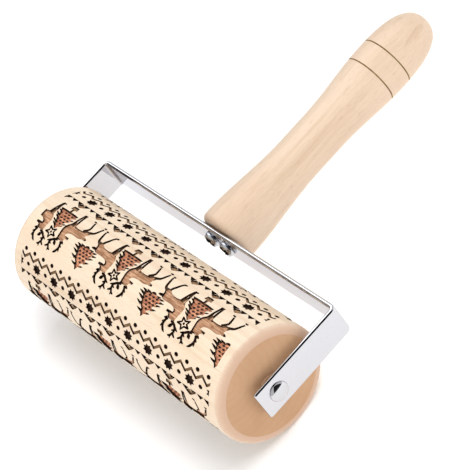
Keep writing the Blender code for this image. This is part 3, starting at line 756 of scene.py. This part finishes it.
def row_shapes():
    """The rows of dots, zigzag, stars, triangles and diamonds."""
    shapes = []
    half = STAR_PITCH / 2
    count = int(BORDER_ENDS[1] / STAR_PITCH) + 2
    for index in range(-count, count + 1):
        x = STAR_AT + index * STAR_PITCH
        dark = [pointed_star(x, STAR_ROW, *STAR_SIZE, 8, 22.5), oval(x + half, *STAR_DOTS)]
        dark += [oval(x + side, *ROW_DOTS) for side in (-half / 2, half / 2)]
        corners = diamond(x, *DIAMOND)
        sides = [straight(start, end, DIAMOND_LINE) for start, end in sides_of(corners)]
        shapes += at_level(CUT_LEVEL, dark) + [(POT_LEVEL, corners)] + at_level(LINE_LEVEL, sides)
        wide, tall = TRIANGLE
        places = [x + offset for offset in TRIANGLE_OFFSETS]
        shapes += at_level(CUT_LEVEL, [[(at - wide, 0), (at + wide, 0), (at, tall)] for at in places])
        middle, swing, thick = ZIGZAG
        turns = [(x + step * half / 2, middle + swing * (step % 2 * 2 - 1)) for step in range(-2, 3)]
        shapes += at_level(LINE_LEVEL, [bar(start, end, thick) for start, end in zip(turns, turns[1:])])
    return shapes


def bar(start, end, thick):
    """A slanting bar with upright ends."""
    (x0, y0), (x1, y1) = start, end
    return [(x0, y0 - thick / 2), (x1, y1 - thick / 2), (x1, y1 + thick / 2), (x0, y0 + thick / 2)]


def kept_inside(line):
    """The part of an outline between the border's ends."""
    for sign, limit in ((-1, -BORDER_ENDS[0]), (1, BORDER_ENDS[1])):
        kept = []
        for (x0, y0), (x1, y1) in sides_of(line):
            inside0, inside1 = sign * x0 <= limit, sign * x1 <= limit
            if inside0:
                kept.append((x0, y0))
            if inside0 != inside1:
                share = (sign * limit - x0) / (x1 - x0)
                kept.append((sign * limit, y0 + (y1 - y0) * share))
        line = kept
    return line


def bowed(x):
    """Figures are spaced a little unevenly along the roller, as they are on the roller pictured."""
    return x - BOW * (x - BOW_MIDDLE) ** 2


def border_shapes():
    """Every shape of one repeat, cut off at the border's ends."""
    drawn = row_shapes()
    for shapes, middle in ((pair_shapes(), PAIR_AT), (fir_shapes(), FIR_AT)):
        for index in (-1, 0, 1):
            shift = middle + index * FIGURE_PITCH
            drawn += [(level, [(x + shift, y) for x, y in line]) for level, line in shapes]
    cropped = [(level, kept_inside([(bowed(x), y) for x, y in line])) for level, line in drawn]
    return [(level, line) for level, line in cropped if len(line) > 2]


def winding_inside(points, line):
    """Which points lie inside a closed line."""
    x, y = points[:, :1], points[:, 1:]
    start = np.array(line)
    end = np.roll(start, -1, axis=0)
    side = (end[:, 0] - start[:, 0]) * (y - start[:, 1]) - (x - start[:, 0]) * (end[:, 1] - start[:, 1])
    rises = (start[:, 1] <= y) & (end[:, 1] > y) & (side > 0)
    falls = (start[:, 1] > y) & (end[:, 1] <= y) & (side < 0)
    return rises.sum(1) != falls.sum(1)


def flat_tile(half_length, height):
    """One repeat as a flat mesh: its points in metres, its triangles and each one's level."""
    squeeze = height / (DRAWN_HEIGHT * MM)
    points, edges, outlines = [], [], []

    def add_line(line, closed):
        first = len(points)
        points.extend(line)
        count = len(line)
        edges.extend((first + i, first + (i + 1) % count) for i in range(count if closed else count - 1))

    bottom = SEAM * MM * squeeze
    for strip in range(STRIPS + 1):
        y = bottom + height * strip / STRIPS
        add_line([(-half_length, y), (half_length, y)], False)
    for column in range(COLUMNS + 1):
        x = half_length * (2 * column / COLUMNS - 1)
        add_line([(x, bottom), (x, bottom + height)], False)
    for level, line in border_shapes():
        metres = [(x * MM, y * MM * squeeze) for x, y in line]
        outlines.append((level, metres))
        add_line(metres, True)
    flat, _, triangles, *_ = delaunay_2d_cdt([Vector(p) / MM for p in points], edges, [], 0, 0.001)
    flat = np.array(flat) * MM
    triangles = np.array(triangles)
    middles = flat[triangles].mean(1)
    levels = np.full(len(triangles), SURFACE)
    for level, line in outlines:
        low, high = np.min(line, axis=0), np.max(line, axis=0)
        near = np.flatnonzero(((middles >= low) & (middles <= high)).all(1) & (levels < level))
        levels[near[winding_inside(middles[near], line)]] = level
    return flat, triangles, levels, bottom


def engraved_shell(half_length):
    """The engraved tube round the X axis, as points, faces and each face's material."""
    height = math.tau * ROLLER_RADIUS / REPEATS
    flat, triangles, levels, bottom = flat_tile(half_length, height)
    strip = (flat[:, 1] - bottom) / (height / STRIPS)
    whole = np.clip(np.floor(strip + TINY), 0, STRIPS - 1)
    share = strip - whole
    corners, faces, materials = {}, [], []

    def corner(point, level):
        return corners.setdefault((point, level), len(corners))

    sides, present = {}, {}
    for triangle, level in zip(triangles.tolist(), levels.tolist()):
        faces.append([corner(point, level) for point in triangle])
        materials.append(level)
        for a, b in sides_of(triangle):
            sides.setdefault((min(a, b), max(a, b)), []).append((a, b, level))
            present.setdefault(a, set()).add(level)
    # A wall stands where the level changes. Each end has a corner at every level that meets there.
    for uses in sides.values():
        if len(uses) == 2 and uses[0][2] != uses[1][2]:
            a, b, high = min(uses, key=lambda use: use[2])
            low = max(uses[0][2], uses[1][2])
            down_a, down_b = ([v for v in sorted(present[end]) if high <= v <= low] for end in (a, b))
            wall = [(b, high)] + [(a, v) for v in down_a] + [(b, v) for v in down_b[:0:-1]]
            faces.append([corner(*place) for place in wall])
            materials.append(WALL_MATERIAL)
    keys = np.array(list(corners))
    point, level = keys[:, 0], keys[:, 1]
    radius = ROLLER_RADIUS - np.array(DEPTHS)[level]
    turn = math.tau / REPEATS / STRIPS
    first = whole[point] * turn
    y = radius * ((1 - share[point]) * np.cos(first) + share[point] * np.cos(first + turn))
    z = radius * ((1 - share[point]) * np.sin(first) + share[point] * np.sin(first + turn))
    return np.stack([-flat[point, 0], y, z], 1), faces, materials, bottom


# Roller
def make_roller():
    """The engraved tube with its rounded rims, flat ends and stepped bore, closed all round."""
    end = ROLLER_LENGTH / 2
    half_length = end - ROLLER_RIM_RADIUS
    points, faces, materials, bottom = engraved_shell(half_length)
    bm = bmesh.new()
    for repeat in range(REPEATS):
        angle = math.tau * repeat / REPEATS
        c, s = math.cos(angle), math.sin(angle)
        corners = [bm.verts.new((x, y * c - z * s, y * s + z * c)) for x, y, z in points.tolist()]
        for face, material in zip(faces, materials):
            made = bm.faces.new([corners[index] for index in face])
            made.material_index = material
            made.normal_update()
    rim = ROLLER_RADIUS - ROLLER_RIM_DEPTH
    counterbore = SLEEVE_DIAMETER / 2 + SEAT_GAP
    shoulder = end - SLEEVE_LENGTH - SEAT_GAP
    turns = quarter_turn(RIM_STEPS)
    right = [(half_length + ROLLER_RIM_RADIUS * out, rim + ROLLER_RIM_DEPTH * up) for out, up in turns]
    right += [(end, rim * share) for share in END_RINGS]
    right += [(end, counterbore), (shoulder, counterbore), (shoulder, ROLLER_BORE / 2)]
    profile = right + [(-x, r) for x, r in reversed(right)]
    directions = full_turn(REPEATS * STRIPS)
    rings = [[bm.verts.new((x, radius * y, radius * z)) for y, z in directions] for x, radius in profile]
    for index, (near, far) in enumerate(zip(rings, rings[1:])):
        on_rim = index < RIM_STEPS or index >= len(rings) - 1 - RIM_STEPS
        add_band(bm, near + near[:1], far + far[:1], RIM_MATERIAL if on_rim else END_MATERIAL)
    bmesh.ops.remove_doubles(bm, verts=bm.verts, dist=MERGE_DISTANCE)
    bmesh.ops.recalc_face_normals(bm, faces=bm.faces)
    turn = math.radians(BORDER_FOOT_ANGLE) + bottom / ROLLER_RADIUS
    bmesh.ops.rotate(bm, verts=bm.verts, cent=(0, 0, 0), matrix=Matrix.Rotation(turn, 3, "X"))
    piece = make_object("roller_engraved", bm, ROLLER_PLACE, ROLLER_MATERIALS)
    round_shell(piece.data)
    fit_to(piece, "roller", "roller")


def read(items, key, width=3, kind=np.float32):
    """One property of all items of a mesh, a row for each."""
    values = np.empty(len(items) * width, kind)
    items.foreach_get(key, values)
    return values.reshape(-1, width)


def round_shell(mesh):
    """Gives the tube's own surface and the bottoms of its recesses the shading of a true cylinder."""
    normals = read(mesh.corner_normals, "vector")
    corners = read(mesh.loops, "vertex_index", 1, np.int32)[:, 0]
    places = read(mesh.vertices, "co")
    facing = read(mesh.polygons, "normal")
    totals = read(mesh.polygons, "loop_total", 1, np.int32)[:, 0]
    places -= np.array(ROLLER_PLACE.translation, np.float32)
    radial = places[corners] * np.array([0, 1, 1], np.float32)
    size = np.linalg.norm(radial, axis=1, keepdims=True)
    radial /= size
    face_of = np.repeat(np.arange(len(totals)), totals)
    on_tube = np.abs(places[corners][:, 0]) < ROLLER_LENGTH / 2 - ROLLER_RIM_RADIUS + TINY
    outward = (facing[face_of] * radial).sum(1) > FACING_OUT
    shell = on_tube & outward & (size[:, 0] > ROLLER_RADIUS / 2)
    normals[shell] = radial[shell]
    mesh.normals_split_custom_set(normals.tolist())


# Handle
def ease(start, end, share):
    """A value between start and end that leaves the one and meets the other level."""
    return start + (end - start) * (1 - math.cos(math.pi * share)) / 2


def handle_radius(height):
    """The handle's radius at this height over its base: foot, waist, swell and domed end."""
    base, waist, swell = BASE_DIAMETER / 2, WAIST_DIAMETER / 2, SWELL_DIAMETER / 2
    if height <= FOOT_LENGTH:
        return base
    if height <= WAIST_START:
        return ease(base, waist, (height - FOOT_LENGTH) / (WAIST_START - FOOT_LENGTH))
    if height <= WAIST_END:
        return waist
    if height <= SWELL_AT:
        return ease(waist, swell, (height - WAIST_END) / (SWELL_AT - WAIST_END))
    share = (height - SWELL_AT) / (HANDLE_LENGTH - SWELL_AT)
    return swell * max(0, 1 - share**DOME_FULLNESS) ** (1 / DOME_FULLNESS)


def make_handle():
    """The turned handle with its two burnt ring grooves and a hole for each screw."""
    heights = [FOOT_LENGTH + (SWELL_AT - FOOT_LENGTH) * step / HANDLE_STEPS for step in range(HANDLE_STEPS)]
    heights += [SWELL_AT + (HANDLE_LENGTH - SWELL_AT) * sine for sine, _ in quarter_turn(DOME_STEPS)[:-1]]
    clear = [h for h in heights if all(abs(h - groove) > GROOVE_WIDTH for groove in GROOVES_AT)]
    points = [(handle_radius(height), height, False) for height in clear]
    for groove in GROOVES_AT:
        for step in range(GROOVE_STEPS + 1):
            share = step / GROOVE_STEPS
            height = groove + GROOVE_WIDTH * (share - 0.5)
            depth = GROOVE_DEPTH * math.sin(math.pi * share)
            points.append((handle_radius(height) - depth, height, step < GROOVE_STEPS))
    points.sort(key=lambda point: point[1])
    middle = (BASE_DIAMETER / 2 - BASE_EDGE_BREAK, BASE_EDGE_BREAK)
    edge = [(r, h, False) for r, h in arc(middle, BASE_EDGE_BREAK, -90, 0, BASE_STEPS)]
    points = [(0, 0, False), *edge, *points, (0, HANDLE_LENGTH, False)]
    marked = {index for index, point in enumerate(points) if point[2]}
    shape = turned([point[:2] for point in points], HANDLE_SIDES, marked)
    piece = make_object("handle_turned", shape, HANDLE_PLACE, (HANDLE_WOOD, GROOVE_WOOD))
    for across in SCREW_PLACES.values():
        hole = rod(SCREW_HOLE, -SEAT_GAP, SCREW_REACH + SEAT_GAP)
        cut(piece, hole, HANDLE_PLACE @ Matrix.Translation((across, 0, 0)))
    soften(piece.data)
    fit_to(piece, "pin", "handle")


# Yoke
def make_yoke():
    """The bent strap with rounded edges, its axle holes and its screw holes."""
    outer, inner = BEND_RADIUS + STRAP_THICKNESS, BEND_RADIUS
    aside, height = INSIDE_HALF - BEND_RADIUS, CROSSBAR_INSIDE - BEND_RADIUS
    left, right, foot = (-aside, height), (aside, height), -LEG_BELOW_AXLE
    outline = arc(left, outer, 180, 90, BEND_STEPS) + arc(right, outer, 90, 0, BEND_STEPS)
    outline += [(OUTSIDE_HALF, foot), (INSIDE_HALF, foot)]
    outline += arc(right, inner, 0, 90, BEND_STEPS) + arc(left, inner, 90, 180, BEND_STEPS)
    outline += [(-INSIDE_HALF, foot), (-OUTSIDE_HALF, foot)]
    piece = make_object("yoke_chromed", extruded(outline, STRAP_WIDTH), PIN, (CHROME,))
    add_bevel(piece, "rounded_edges", *STRAP_EDGES)
    settle(piece)
    end = OUTSIDE_HALF + CUT_OVERRUN
    cut(piece, rod(AXLE_DIAMETER / 2 + SEAT_GAP, -end, end), PIN @ ALONG_X)
    low, high = CROSSBAR_INSIDE - CUT_OVERRUN, CROSSBAR_OUTSIDE + CUT_OVERRUN
    for across in SCREW_PLACES.values():
        cut(piece, rod(SCREW_HOLE, low, high), PIN @ Matrix.Translation((across, 0, 0)) @ ALONG_Y)
    soften(piece.data)
    weighted = piece.modifiers.new("flat_faces", "WEIGHTED_NORMAL")
    weighted.weight = FLAT_FACE_WEIGHT
    weighted.keep_sharp = True
    settle(piece)
    fit_to(piece, "pin", "yoke")


# Screws
def make_screws():
    """The two domed screws inside the crossbar, each with a cross recess."""
    head, flat = SCREW_HEAD_DIAMETER / 2, SCREW_HEAD_DIAMETER / 2 * SCREW_FLAT_SHARE
    top = -SEAT_GAP - SCREW_HEAD_HEIGHT
    turns = quarter_turn(CROWN_STEPS)
    crown = [(flat + (head - flat) * sine, -SEAT_GAP - SCREW_HEAD_HEIGHT * cosine) for sine, cosine in turns]
    tip = STRAP_THICKNESS + SEAT_GAP + SCREW_REACH
    radius = SCREW_SHANK_DIAMETER / 2
    outline = [(0, top), *crown, (radius, -SEAT_GAP), (radius, tip - SCREW_POINT), (0, tip)]
    arm, half = CROSS_LENGTH / 2, CROSS_WIDTH / 2
    corner = [(arm, -half), (arm, half), (half, half)]
    turns = [Matrix.Rotation(math.radians(90) * turn, 2) for turn in range(4)]
    cross = [tuple(turn @ Vector(point)) for turn in turns for point in corner]
    for side, across in SCREW_PLACES.items():
        seat = PIN @ Matrix.Translation((across, CROSSBAR_INSIDE, 0)) @ ALONG_Y
        piece = make_object(f"screw_{side}", turned(outline, SMALL_SIDES), seat, (SCREW_STEEL,))
        place = seat @ Matrix.Translation((0, 0, top)) @ Matrix.Rotation(SCREW_TURNS[side], 4, "Z")
        # The recess's cut faces take the painted shade.
        cut(piece, extruded(cross, 2 * CROSS_DEPTH), place, RECESS_PAINTED_SHADE)
        soften(piece.data)
        fit_to(piece, "pin", f"handle_screw_{side}")


# Axle
def dome(radius, height, base):
    """The outline of a domed head on this base."""
    turns = quarter_turn(CROWN_STEPS)[:-1]
    return [(radius * cosine, base + height * sine) for sine, cosine in turns] + [(0, base + height)]


def make_axle():
    """The axle with its domed head, and the cap pressed on its other end."""
    left_end = -OUTSIDE_HALF - CAP_GRIP
    radius = AXLE_DIAMETER / 2
    shank = [(0, left_end), (radius - AXLE_CHAMFER, left_end), (radius, left_end + AXLE_CHAMFER)]
    outline = shank + [(radius, OUTSIDE_HALF)] + dome(HEAD_DIAMETER / 2, HEAD_HEIGHT, OUTSIDE_HALF)
    piece = make_object("axle_with_head", turned(outline, SMALL_SIDES), PIN @ ALONG_X, (STEEL,))
    fit_to(piece, "pin", "axle")
    bore, deep = radius + SEAT_GAP, CAP_GRIP + SEAT_GAP
    hollow = [(0, deep), (bore, deep), (bore, 0)]
    cap = turned(hollow + dome(HEAD_DIAMETER / 2, deep + CAP_CROWN, 0), SMALL_SIDES)
    place = PIN @ ALONG_MINUS_X @ Matrix.Translation((0, 0, OUTSIDE_HALF))
    fit_to(make_object("axle_end_cap", cap, place, (STEEL,)), "pin", "axle_cap")


def finish_small_parts():
    """The washers and bushings stay as the CAD has them, with eased edges and their own finish: the washers
    painted dark grey and the bushings dark brown, as painted shade beside the legs.
    """
    kinds = (("washer", WASHER_PAINTED_SHADE, "washer_steel"), ("bushing", NYLON_PAINTED_SHADE, "bushing_nylon"))
    for kind, material, slot in kinds:
        for side in ("left", "right"):
            node = frame["nodes"][f"{kind}_{side}"]
            node.data.materials.clear()
            node.data.materials.append(material)
            add_bevel(node, "eased_edges", *EASED_EDGES)


# Camera, lights and floor
LENS = 206.81
SENSOR_WIDTH = 36.0
CLIP_START = 0.01
CAMERA_AIM = Vector((0.00163, -0.02484, 0.01914))
CAMERA_DISTANCE = 1.04965
CAMERA_AZIMUTH = 81.729
CAMERA_ELEVATION = 44.580
CAMERA_ROLL = 45.691
FLOOR_HALF = 6.0
FLOOR_DROP = 0.00005
WORLD_STRENGTH = 0.70

# Where each light stands, where it points, its size and its power
KEY = ((0.50, 0.84, 1.83), (0, 0, 0), (1.8, 1.0), 33.3)
FILL = ((0.30, -1.55, 0.78), (0, -0.06, 0.02), (1.8, 0.6), 17.2)
FLOOR_BOUNCE = ((0.62, 0.05, -0.58), (0, 0.05, 0.02), (0.6, 0.6), 2.0)

# Each card's middle, its reach to either side, its lowest and highest edge and its strength. Angles are in
# degrees, from +X towards +Y.
CARDS = {
    "dark_card_behind": (12, 42, 2, 88, 0.02),
    "dark_card_ahead": (207, 19, 3, 42, 0.05),
    "dim_card_low": (140, 45, 1, 13, 0.30),
    "bright_card": (150, 36, 32, 75, 2.4),
}
CARD_DISTANCE = 2.4
CARD_STEPS = 24
CARD_ROWS = 10


def make_camera():
    data = bpy.data.cameras.new("camera")
    data.lens = LENS
    data.sensor_width = SENSOR_WIDTH
    data.clip_start = CLIP_START
    camera = add_object("camera", data)
    a, e = math.radians(CAMERA_AZIMUTH), math.radians(CAMERA_ELEVATION)
    back = Vector((math.sin(a) * math.cos(e), -math.cos(a) * math.cos(e), math.sin(e)))
    level = (-back).to_track_quat("-Z", "Y").to_matrix().to_4x4()
    roll = Matrix.Rotation(math.radians(-CAMERA_ROLL), 4, "Z")
    camera.matrix_world = Matrix.Translation(CAMERA_AIM + back * CAMERA_DISTANCE) @ level @ roll
    bpy.context.scene.camera = camera


def make_floor():
    bm = bmesh.new()
    bmesh.ops.create_grid(bm, x_segments=1, y_segments=1, size=FLOOR_HALF)
    make_object("floor", bm, Matrix.Translation((0, 0, -FLOOR_DROP)), (floor_finish(),))


def make_light(name, place, aim, size, power):
    data = bpy.data.lights.new(name, "AREA")
    data.shape = "RECTANGLE"
    data.size, data.size_y = size
    data.energy = power
    light = add_object(name, data)
    light.visible_glossy = False
    light.location = place
    light.rotation_mode = "QUATERNION"
    light.rotation_quaternion = (Vector(aim) - Vector(place)).to_track_quat("-Z", "Y")
    return light


def all_but(*names):
    """A set for linking a light to everything except these objects."""
    left_out = bpy.data.collections.new("no_light_" + names[0])
    for name in names:
        left_out.objects.link(bpy.data.objects[name])
    for member in left_out.collection_objects:
        member.light_linking.link_state = "EXCLUDE"
    return left_out


def glow_finish(name, strength):
    """A softly glowing card."""
    card = Shading(name, roughness=1.0, specular=0.0)
    cloud = card.noise((1, 1, 1))
    glow = card.mix(cloud, rgb(0.97, 0.97, 0.98), WHITE)
    card.join(card.shader, Emission_Color=glow, Emission_Strength=strength)
    return card.finished(card.mix(cloud, rgb(0, 0, 0), rgb(0.001, 0.001, 0.001)))


def make_card(name, middle, spread, low, high, strength):
    """Part of a dome round the pin that only shiny surfaces mirror."""
    bm = bmesh.new()
    angles = [math.radians(middle + spread * (2 * step / CARD_STEPS - 1)) for step in range(CARD_STEPS + 1)]
    rows = []
    for row in range(CARD_ROWS + 1):
        up = math.radians(low + (high - low) * row / CARD_ROWS)
        flat, rise = math.cos(up), math.sin(up)
        rows.append([bm.verts.new((flat * math.cos(a), flat * math.sin(a), rise)) for a in angles])
    for lower, upper in zip(rows, rows[1:]):
        add_band(bm, lower, upper)
    card = make_object(name, bm, Matrix.Scale(CARD_DISTANCE, 4), (glow_finish(name, strength),))
    card.visible_camera = False
    card.visible_diffuse = False
    card.visible_shadow = False


def make_studio():
    """A pale floor, a white surround, soft lights, and cards that only shiny surfaces mirror."""
    make_floor()
    world = bpy.data.worlds.new("studio")
    world.use_nodes = True
    background = world.node_tree.nodes["Background"]
    background.inputs["Color"].default_value = WHITE
    background.inputs["Strength"].default_value = WORLD_STRENGTH
    bpy.context.scene.world = world
    key = make_light("key", *KEY)
    fill = make_light("fill", *FILL)
    bounce = make_light("floor_bounce", *FLOOR_BOUNCE)
    no_shade = ("handle_turned", "yoke_chromed", "screw_left", "screw_right")
    key.light_linking.blocker_collection = all_but(*no_shade)
    fill.light_linking.receiver_collection = all_but("floor")
    bounce.light_linking.blocker_collection = all_but("floor", "yoke_chromed")
    fill.light_linking.blocker_collection = all_but("yoke_chromed")
    for name, values in CARDS.items():
        make_card(name, *values)
    bpy.context.scene.view_settings.view_transform = "Standard"


make_camera()
make_roller()
make_handle()
make_yoke()
make_screws()
make_axle()
finish_small_parts()
make_studio()
